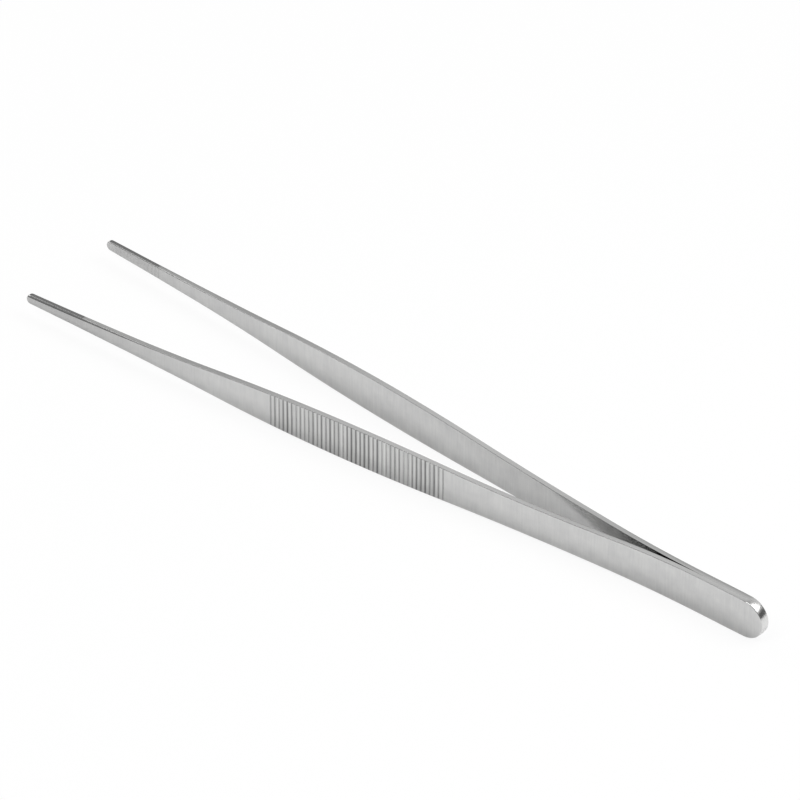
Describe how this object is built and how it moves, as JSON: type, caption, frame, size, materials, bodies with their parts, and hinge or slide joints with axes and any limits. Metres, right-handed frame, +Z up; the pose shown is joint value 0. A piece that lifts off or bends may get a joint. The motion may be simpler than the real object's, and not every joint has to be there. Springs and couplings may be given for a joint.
{
  "type": "aquascaping tweezers",
  "caption": "Long straight planting tweezers: two springy steel arms joined at a rounded heel, with ribbed finger grips and slender blunt jaws.",
  "frame": {"origin": "middle of the footprint, on the plane of the arms' lower edges that the pair stands on", "axes": "+X towards the heel and -X towards the tips, +Z up along the height of the arms, +Y from the near arm to the far arm"},
  "size_m": [0.27, 0.0392, 0.0129],
  "materials": {
    "satin_steel": "satin ground stainless steel, edges lightly polished",
    "weld_steel": "weld metal, ground flush and polished"
  },
  "bodies": {
    "heel": {"near_arm_heel": "satin_steel", "far_arm_heel": "satin_steel", "heel_weld": "weld_steel"},
    "near_arm": {"near_arm_blade": "satin_steel"},
    "far_arm": {"far_arm_blade": "satin_steel"}
  },
  "joints": [
    {"name": "near_flex", "type": "hinge", "parent": "heel", "child": "near_arm", "pos_m": [0.069, -0.00376, 0.00645], "axis": [0, 0, -1], "range_deg": [0, 4.86], "stiffness_Nm_per_rad": 11},
    {"name": "far_flex", "type": "hinge", "parent": "heel", "child": "far_arm", "pos_m": [0.069, 0.00376, 0.00645], "axis": [0, 0, 1], "range_deg": [0, 4.86], "stiffness_Nm_per_rad": 11}
  ],
  "couplings": [
    {"joint": "far_flex", "follows": "near_flex", "ratio": 1}
  ]
}
